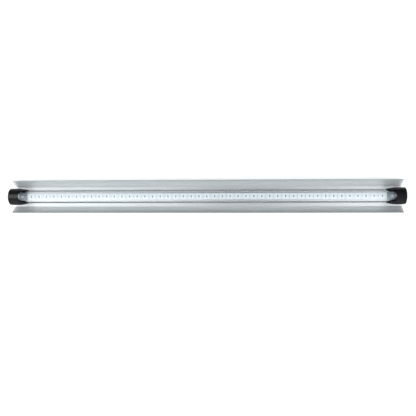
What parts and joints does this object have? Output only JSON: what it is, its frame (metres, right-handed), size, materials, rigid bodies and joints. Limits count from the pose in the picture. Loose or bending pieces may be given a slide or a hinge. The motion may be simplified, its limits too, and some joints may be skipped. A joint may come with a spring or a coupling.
{
  "type": "led light bar",
  "caption": "Long light bar for a truck or trailer: a strip of LEDs in a clear tube, held by two black end caps in front of a bright aluminium reflector channel.",
  "frame": {"origin": "middle of the flat back of the reflector channel", "axes": "+X along the bar, away from the cable inlet; +Z the way the light faces; +Y across the bar"},
  "size_m": [0.844, 0.0714, 0.0385],
  "materials": {
    "reflector_aluminium": "satin",
    "rail_aluminium": "satin",
    "plated_steel": "zinc plated",
    "tinned_metal": "tinned",
    "cap_plastic": "moulded, slight sheen",
    "seal_rubber": "matte",
    "clear_plastic": "clear",
    "tape_grey": "matte",
    "board_white": "white solder mask",
    "package_white": "satin",
    "phosphor": "satin",
    "plug_white": "satin",
    "clamp_grey": "satin",
    "component_black": "matte",
    "terminal_green": "satin",
    "driver_green": "green solder mask",
    "lead_red": "satin",
    "lead_black": "satin"
  },
  "bodies": {
    "housing": {"reflector_channel": "reflector_aluminium", "clinch_nuts": "plated_steel", "end_cap_left": "cap_plastic", "end_cap_right": "cap_plastic", "cap_screws": "plated_steel", "tube_seal_left": "seal_rubber", "tube_seal_right": "seal_rubber", "cable_grommet": "seal_rubber", "blanking_plug": "seal_rubber"},
    "lamp": {"clear_tube": "clear_plastic", "board_carrier": "rail_aluminium", "thermal_tape": "tape_grey", "led_board": "board_white", "led_packages": "package_white", "led_phosphors": "phosphor", "solder_pads": "tinned_metal", "board_resistors": "component_black", "end_plug_left": "plug_white", "end_plug_right": "plug_white", "board_clamp_left": "clamp_grey", "board_clamp_right": "clamp_grey", "clamp_screws": "plated_steel", "terminal_block": "terminal_green", "terminal_screws": "plated_steel", "supply_lead_red": "lead_red", "supply_lead_black": "lead_black", "driver_pad": "tape_grey", "driver_board": "driver_green", "driver_inductor": "component_black", "driver_capacitor": "tinned_metal", "driver_regulator": "component_black", "driver_diode": "component_black", "power_pins": "tinned_metal"}
  },
  "joints": [
    {"name": "lamp_turn", "type": "hinge", "parent": "housing", "child": "lamp", "pos_m": [0, 0, 0.0205], "axis": [1, 0, 0], "range_deg": [-60, 60]}
  ]
}
